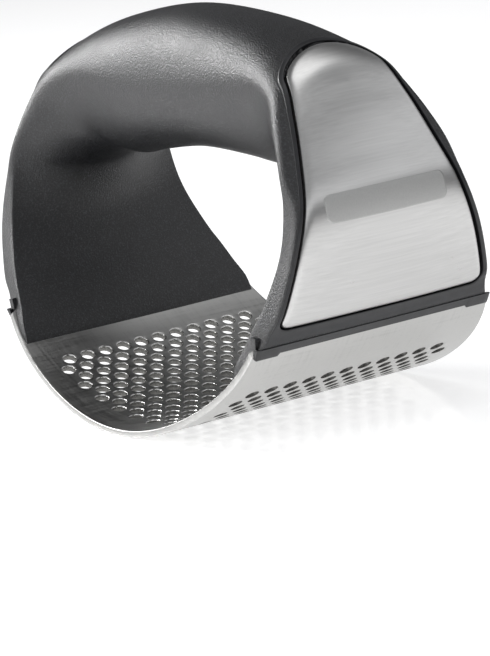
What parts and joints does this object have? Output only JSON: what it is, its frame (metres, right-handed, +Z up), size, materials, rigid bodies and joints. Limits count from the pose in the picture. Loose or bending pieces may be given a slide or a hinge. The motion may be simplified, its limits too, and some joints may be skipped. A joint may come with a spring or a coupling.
{
  "type": "garlic press",
  "caption": "Hand garlic press: a bent perforated steel sheet closed into a loop by a saddle-shaped plastic handle with steel side inlays, rocked to crush cloves.",
  "frame": {"origin": "middle of the sheet's lowest facet, where the press rests on a surface", "axes": "+Z up through the grip, X along the way it rocks, Y across the sheet, along the axis of its bend"},
  "size_m": [0.1116, 0.0614, 0.0786],
  "materials": {
    "sheet_steel": "satin stainless, lightly scratched, with bright cut edges",
    "brushed_steel": "stainless brushed across the arm, with a polished rolled rim",
    "textured_plastic": "black with a fine spark-eroded grain",
    "satin_plastic": "smooth satin black",
    "adhesive": "double-sided foam film",
    "screw_steel": "zinc-plated"
  },
  "bodies": {
    "root": {"sieve_plate": "sheet_steel", "handle_body": "textured_plastic", "side_cover_left": "satin_plastic", "steel_inlay_left": "brushed_steel", "adhesive_pad_left": "adhesive", "lip_strip_left": "satin_plastic", "slot_plug_left_front": "textured_plastic", "slot_plug_left_back": "textured_plastic", "cover_screw_left_1": "screw_steel", "cover_screw_left_2": "screw_steel", "cover_screw_left_3": "screw_steel", "cover_screw_left_4": "screw_steel", "side_cover_right": "satin_plastic", "steel_inlay_right": "brushed_steel", "adhesive_pad_right": "adhesive", "lip_strip_right": "satin_plastic", "slot_plug_right_front": "textured_plastic", "slot_plug_right_back": "textured_plastic", "cover_screw_right_1": "screw_steel", "cover_screw_right_2": "screw_steel", "cover_screw_right_3": "screw_steel", "cover_screw_right_4": "screw_steel"}
  },
  "joints": []
}
